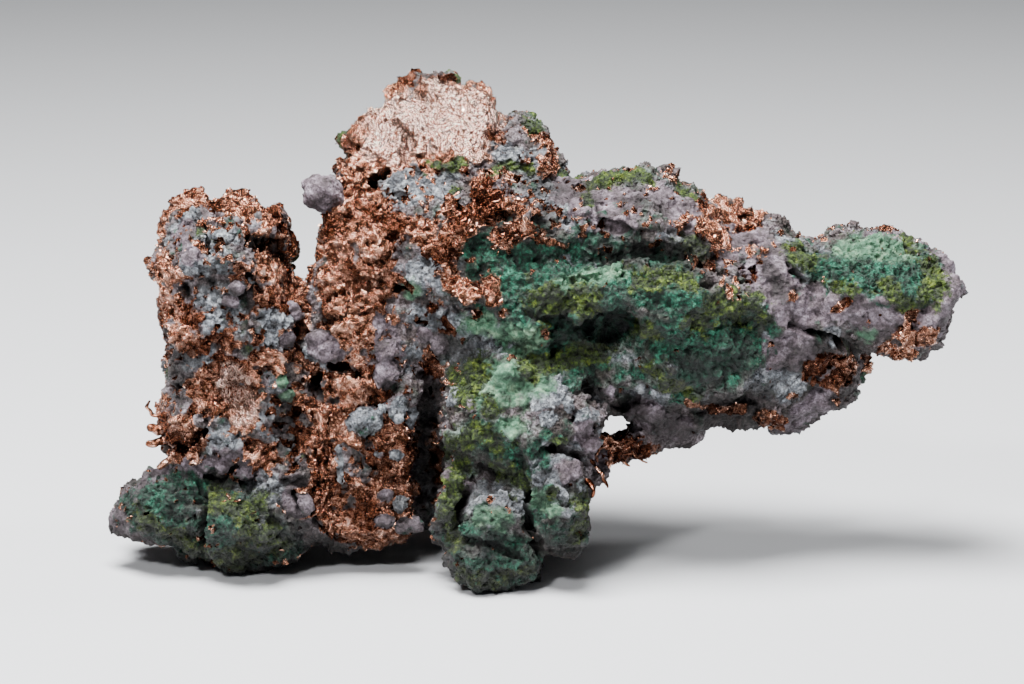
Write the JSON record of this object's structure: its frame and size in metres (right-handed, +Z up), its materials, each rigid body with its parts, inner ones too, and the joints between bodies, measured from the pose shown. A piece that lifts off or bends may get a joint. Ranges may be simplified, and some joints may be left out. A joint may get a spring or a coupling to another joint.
{
  "type": "native copper nugget",
  "caption": "Free-standing natural nugget of native copper grown through grey rock with a green crust, with a tower, a peak and a long arm on three worn feet.",
  "frame": {"origin": "middle of the nugget's footprint box, on the surface that its three feet rest on", "axes": "+Z up, +X along the length from the left foot to the arm's head, +Y from the front, with the green hollow, to the back"},
  "size_m": [0.0722, 0.0292, 0.0408],
  "materials": {
    "copper": "bright hackly native copper, metallic, with darker tarnish in the hollows",
    "rock": "matte lilac-grey to blue-grey broken rock",
    "green_crust": "dull earthy green and yellow-green mineral crust"
  },
  "bodies": {
    "root": {"nugget": "copper"}
  },
  "joints": []
}
